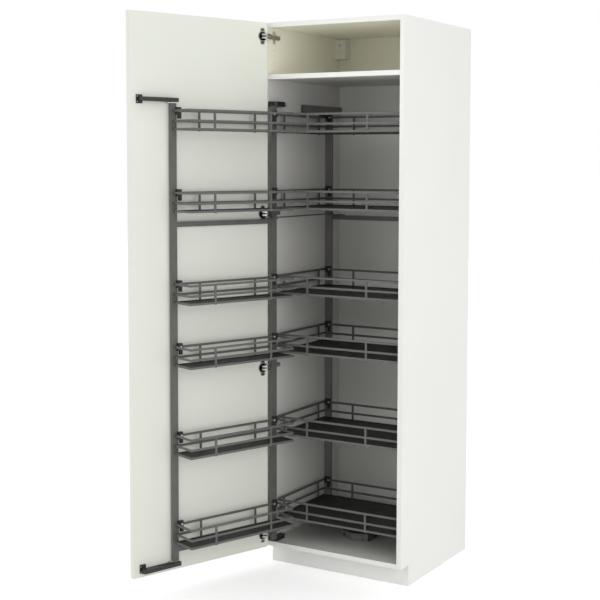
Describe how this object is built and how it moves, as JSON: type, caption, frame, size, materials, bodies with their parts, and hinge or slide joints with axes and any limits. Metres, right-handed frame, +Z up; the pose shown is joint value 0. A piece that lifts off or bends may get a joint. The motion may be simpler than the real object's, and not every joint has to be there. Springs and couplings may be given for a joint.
{
  "type": "pull out larder unit",
  "caption": "Tall white kitchen cabinet with a hinged door; racks of wire baskets swing out with the door and slide forward behind it.",
  "frame": {"origin": "on the floor, at the middle of the rear plinth rail's underside", "axes": "+Z up, +Y towards the wall behind the cabinet, +X towards the cabinet's right side seen from the front"},
  "size_m": [0.7945, 1.1601, 2.1],
  "materials": {
    "white_board": "white melamine foil, satin",
    "back_board": "white painted fibreboard, satin",
    "graphite_metal": "dark grey powder coat, satin",
    "tray_board": "near black, slightly ribbed",
    "black_plastic": "black, fine grain",
    "grey_plastic": "mid grey, fine grain",
    "white_plastic": "white, satin",
    "hinge_steel": "nickel plated"
  },
  "bodies": {
    "cabinet": {"side_panel_left": "white_board", "side_panel_right": "white_board", "top_panel": "white_board", "bottom_panel": "white_board", "fixed_shelf": "white_board", "back_panel": "back_board", "plinth_front": "white_board", "rear_plinth_rail": "white_board", "wall_hangers": "white_plastic", "hinge_plates": "hinge_steel", "hinge_arms": "hinge_steel", "hinge_screws": "hinge_steel", "pivot_bracket_top": "black_plastic", "pivot_bracket_bottom": "black_plastic", "bracket_knobs": "hinge_steel", "guide_rail_top": "graphite_metal", "floor_runner": "graphite_metal", "damper_housing": "grey_plastic"},
    "door": {"door_panel": "white_board", "hinge_cups": "hinge_steel", "cup_screws": "hinge_steel", "arm_brackets": "black_plastic", "bracket_screws": "hinge_steel"},
    "door_arms": {"door_arm_top": "black_plastic", "door_arm_bottom": "black_plastic"},
    "door_rack": {"door_post_near": "graphite_metal", "door_post_far": "graphite_metal", "door_crossbar_upper": "graphite_metal", "door_crossbar_lower": "graphite_metal", "rack_crank_top": "graphite_metal", "rack_crank_bottom": "graphite_metal", "arm_pins": "hinge_steel", "pull_lever": "graphite_metal", "door_basket_1": "graphite_metal", "door_basket_2": "graphite_metal", "door_basket_3": "graphite_metal", "door_basket_4": "graphite_metal", "door_basket_5": "graphite_metal", "door_basket_6": "graphite_metal", "door_trays": "tray_board", "door_clips": "black_plastic"},
    "pull_rod": {"pull_rod": "graphite_metal"},
    "inner_rack": {"inner_post_left": "graphite_metal", "inner_post_right": "graphite_metal", "inner_crossbar_upper": "graphite_metal", "inner_base_beam": "graphite_metal", "runner_carriage": "graphite_metal", "top_glide": "black_plastic", "rod_plate": "graphite_metal", "inner_basket_1": "graphite_metal", "inner_basket_2": "graphite_metal", "inner_basket_3": "graphite_metal", "inner_basket_4": "graphite_metal", "inner_basket_5": "graphite_metal", "inner_basket_6": "graphite_metal", "inner_trays": "tray_board", "inner_clips": "black_plastic"}
  },
  "joints": [
    {"name": "door_swing", "type": "hinge", "parent": "cabinet", "child": "door", "pos_m": [-0.291, -0.592, 1.09], "axis": [0, 0, 1], "range_deg": [0, 110]},
    {"name": "door_rack_swing", "type": "hinge", "parent": "cabinet", "child": "door_rack", "pos_m": [-0.26, -0.552, 0.95], "axis": [0, 0, 1], "range_deg": [0, 110]},
    {"name": "arm_swivel", "type": "hinge", "parent": "door", "child": "door_arms", "pos_m": [-0.44972, -1.12166, 0.95], "axis": [0, 0, 1], "range_deg": [-24.36, 0]},
    {"name": "inner_rack_slide", "type": "slide", "parent": "cabinet", "child": "inner_rack", "axis": [0, 1, 0], "range_m": [0, 0.127]},
    {"name": "pull_rod_swivel", "type": "hinge", "parent": "door_rack", "child": "pull_rod", "pos_m": [-0.21555, -0.61548, 1.362], "axis": [0, 0, 1], "range_deg": [-110, 0]}
  ],
  "couplings": [
    {"joint": "door_rack_swing", "follows": "door_swing", "ratio": 1},
    {"joint": "arm_swivel", "follows": "door_swing", "ratio": -0.22129},
    {"joint": "inner_rack_slide", "follows": "door_swing", "m_per_rad": 0.06615},
    {"joint": "pull_rod_swivel", "follows": "door_swing", "ratio": -1}
  ]
}
